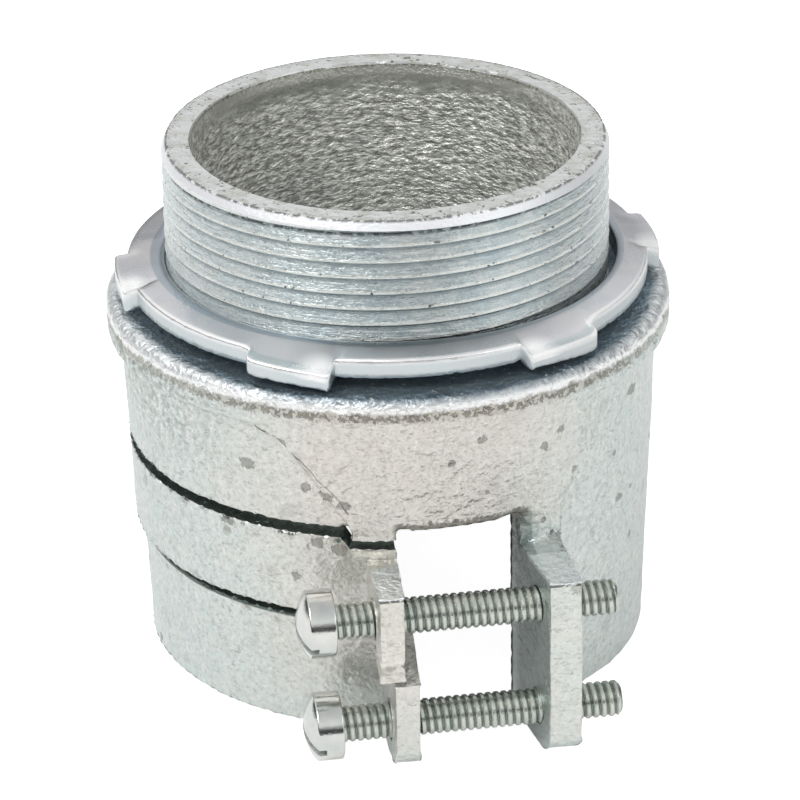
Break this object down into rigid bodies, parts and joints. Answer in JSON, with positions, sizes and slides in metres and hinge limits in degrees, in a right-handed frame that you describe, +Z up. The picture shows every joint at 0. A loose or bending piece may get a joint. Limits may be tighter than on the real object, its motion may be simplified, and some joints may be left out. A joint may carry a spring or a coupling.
{
  "type": "conduit connector",
  "caption": "Cast squeeze connector for flexible metal conduit: threaded spigot with a stamped locknut, flanged barrel slit into clamp jaws, and slotted clamp screws across a front gap.",
  "frame": {"origin": "On the barrel's axis in the plane of the rim that the conduit enters.", "axes": "+Z runs up the axis to the threaded spigot. -Y is the front, with the open gap and the ears. +X is the side of the long tapped ear, and the screw heads are towards -X."},
  "size_m": [0.0772, 0.085, 0.0719],
  "materials": {
    "zinc_plated_casting": "rough cast iron under bright zinc plating",
    "zinc_plated_steel": "smooth stamped steel under bright zinc plating",
    "zinc_plated_screw": "bright zinc plated rolled thread and polished head"
  },
  "bodies": {
    "casting": {"connector_body": "zinc_plated_casting"},
    "nut": {"locknut": "zinc_plated_steel"},
    "upper_screw": {"upper_clamp_screw": "zinc_plated_screw"},
    "lower_screw": {"lower_clamp_screw": "zinc_plated_screw"}
  },
  "joints": [
    {"name": "locknut_travel", "type": "slide", "parent": "casting", "child": "nut", "axis": [0, 0, 1], "range_m": [-0.0003, 0.0184]},
    {"name": "upper_screw_travel", "type": "slide", "parent": "casting", "child": "upper_screw", "axis": [1, 0, 0], "range_m": [-0.0092, 0.0052]},
    {"name": "lower_screw_travel", "type": "slide", "parent": "casting", "child": "lower_screw", "axis": [1, 0, 0], "range_m": [-0.0098, 0.0064]}
  ]
}
